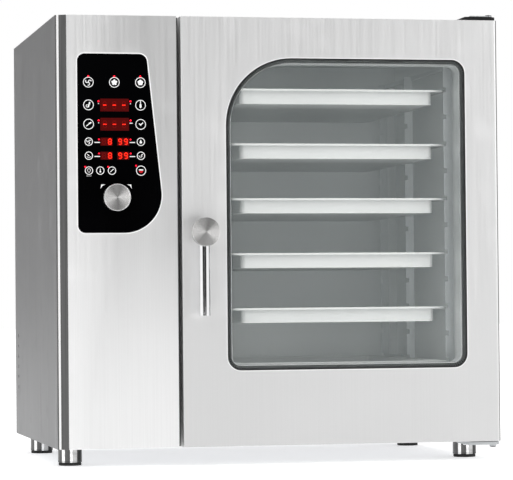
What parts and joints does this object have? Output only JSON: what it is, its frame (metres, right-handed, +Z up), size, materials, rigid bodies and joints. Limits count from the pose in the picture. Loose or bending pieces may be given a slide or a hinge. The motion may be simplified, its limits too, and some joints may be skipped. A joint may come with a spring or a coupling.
{
  "type": "combi steamer oven",
  "caption": "Countertop combi steamer oven with a glazed side-hinged door, slanted control glass with a push-turn knob, and shallow pans on notched racks.",
  "frame": {"origin": "under the middle of the object's box, on the surface that the feet stand on", "axes": "+X to the right seen from the front, +Y towards the back, +Z up; millimetre model in metres"},
  "size_m": [1.044, 0.95, 1.058],
  "materials": {
    "brushed_panel": "fine vertical satin grain",
    "cabinet_panel": "fine satin grain, less reflective",
    "chamber_steel": "satin, slightly heat-dulled",
    "pan_steel": "fine polished sheet",
    "polished_steel": "mirror polished",
    "turned_steel": "turned face with concentric marks",
    "structure_steel": "mill finish sheet",
    "black_glass": "glossy black back-printed glass",
    "door_glass": "clear toughened glass",
    "seal_rubber": "matte silicone rubber",
    "black_plastic": "fine moulded texture",
    "black_metal": "black powder coat",
    "board_green": "solder-mask green",
    "motor_grey": "grey enamel casting",
    "valve_blue": "moulded plastic",
    "insulation": "mineral wool blanket",
    "element_steel": "heat-darkened sheath",
    "bronze": "sintered bronze",
    "lamp_glass": "frosted glass"
  },
  "bodies": {
    "cabinet": {"base_frame": "structure_steel", "left_side_panel": "cabinet_panel", "right_side_panel": "cabinet_panel", "top_cover": "cabinet_panel", "back_panel": "cabinet_panel", "front_frame": "structure_steel", "cavity_liner": "chamber_steel", "insulation_jacket": "insulation", "partition_panel": "structure_steel", "door_gasket": "seal_rubber", "seam_seal": "seal_rubber", "control_fascia": "brushed_panel", "glass_bezel": "polished_steel", "control_glass": "black_glass", "display_board": "board_green", "encoder_body": "black_plastic", "power_board": "board_green", "contactors": "black_plastic", "cooling_fan_frame": "black_plastic", "cable_gland": "black_plastic", "fan_motor": "motor_grey", "heating_coils": "element_steel", "steam_generator": "structure_steel", "water_valve": "valve_blue", "drain_pipe": "black_plastic", "drain_strainer": "chamber_steel", "exhaust_collar": "structure_steel", "flap_motor": "black_plastic", "cavity_lamp": "lamp_glass", "baffle_panel": "chamber_steel", "rack_left": "chamber_steel", "rack_right": "chamber_steel", "pan_1": "pan_steel", "pan_2": "pan_steel", "pan_3": "pan_steel", "pan_4": "pan_steel", "pan_5": "pan_steel", "pan_6": "pan_steel", "upper_hinge": "black_metal", "lower_hinge": "structure_steel", "hinge_pins": "structure_steel", "latch_strike": "structure_steel", "feet": "polished_steel", "foot_pads": "seal_rubber", "cover_screws": "structure_steel"},
    "door": {"door_skin": "brushed_panel", "door_glass": "door_glass", "inner_glass": "door_glass", "door_liner": "chamber_steel", "drip_trough": "chamber_steel", "hinge_bushes": "bronze", "spindle_bush": "black_plastic"},
    "handle": {"handle_hub": "turned_steel", "handle_bar": "polished_steel", "latch_cam": "structure_steel"},
    "knob_push": {"knob_stem": "structure_steel"},
    "knob": {"control_knob": "turned_steel"},
    "fan": {"fan_wheel": "chamber_steel"},
    "cooling": {"cooling_rotor": "black_plastic"},
    "flap": {"vent_flap": "structure_steel"}
  },
  "joints": [
    {"name": "door_hinge", "type": "hinge", "parent": "cabinet", "child": "door", "pos_m": [0.508, -0.381, 0.538], "axis": [0, 0, 1], "range_deg": [0, 115]},
    {"name": "handle_turn", "type": "hinge", "parent": "door", "child": "handle", "pos_m": [-0.1915, -0.403, 0.535], "axis": [0, -1, 0], "range_deg": [0, 90]},
    {"name": "knob_press", "type": "slide", "parent": "cabinet", "child": "knob_push", "axis": [0, 1, 0], "range_m": [0, 0.0015], "stiffness_N_per_m": 2000},
    {"name": "knob_turn", "type": "hinge", "parent": "knob_push", "child": "knob", "pos_m": [-0.386, -0.413, 0.6155], "axis": [0, 1, 0], "continuous": true},
    {"name": "fan_spin", "type": "hinge", "parent": "cabinet", "child": "fan", "pos_m": [-0.208, 0.0095, 0.585], "axis": [1, 0, 0], "continuous": true},
    {"name": "cooling_spin", "type": "hinge", "parent": "cabinet", "child": "cooling", "pos_m": [-0.412, 0.394, 0.464], "axis": [0, 1, 0], "continuous": true},
    {"name": "flap_turn", "type": "hinge", "parent": "cabinet", "child": "flap", "pos_m": [0.004, 0.254, 1.01], "axis": [1, 0, 0], "range_deg": [0, 90]}
  ]
}
